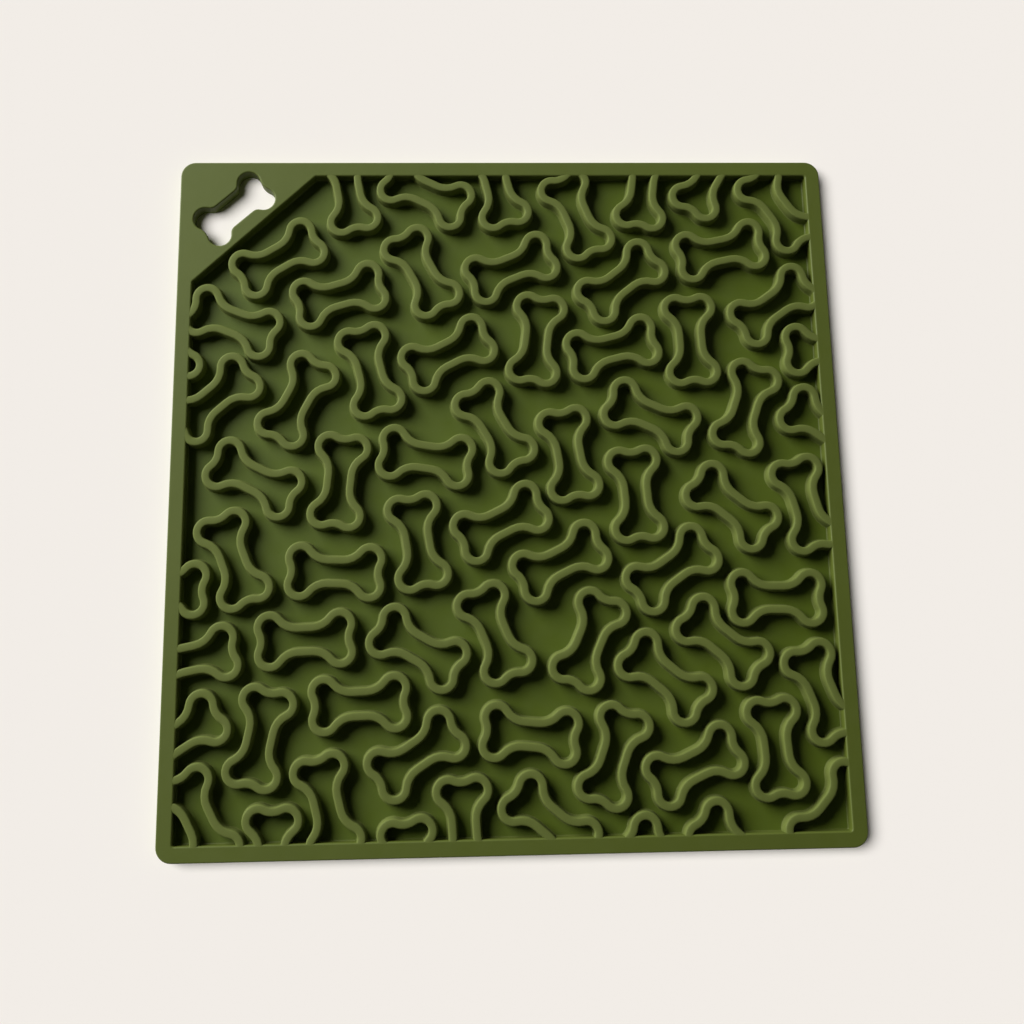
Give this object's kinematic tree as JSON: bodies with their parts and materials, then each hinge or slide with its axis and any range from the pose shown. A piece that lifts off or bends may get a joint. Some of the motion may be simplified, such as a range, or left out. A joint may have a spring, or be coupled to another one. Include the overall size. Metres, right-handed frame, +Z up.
{
  "type": "lick mat",
  "caption": "Square soft rubber lick mat with a raised rim, open bone-shaped ridges that hold spread food, and a bone-shaped hanging hole in a corner.",
  "frame": {"origin": "centre of the mat's outline, on the underside", "axes": "+Z up from the underside through the ridges, +Y towards the edge beside the hanging hole that is at the back in the picture, +X to the right"},
  "size_m": [0.203, 0.209, 0.005],
  "materials": {
    "olive_rubber": "satin"
  },
  "bodies": {
    "root": {"base_sheet": "olive_rubber", "rim": "olive_rubber", "hanging_corner": "olive_rubber", "bones_row_1": "olive_rubber", "bones_row_2": "olive_rubber", "bones_row_3": "olive_rubber", "bones_row_4": "olive_rubber", "bones_row_5": "olive_rubber", "bones_row_6": "olive_rubber", "cut_bones_left": "olive_rubber", "cut_bones_back": "olive_rubber", "cut_bones_right": "olive_rubber", "cut_bones_front": "olive_rubber"}
  },
  "joints": []
}
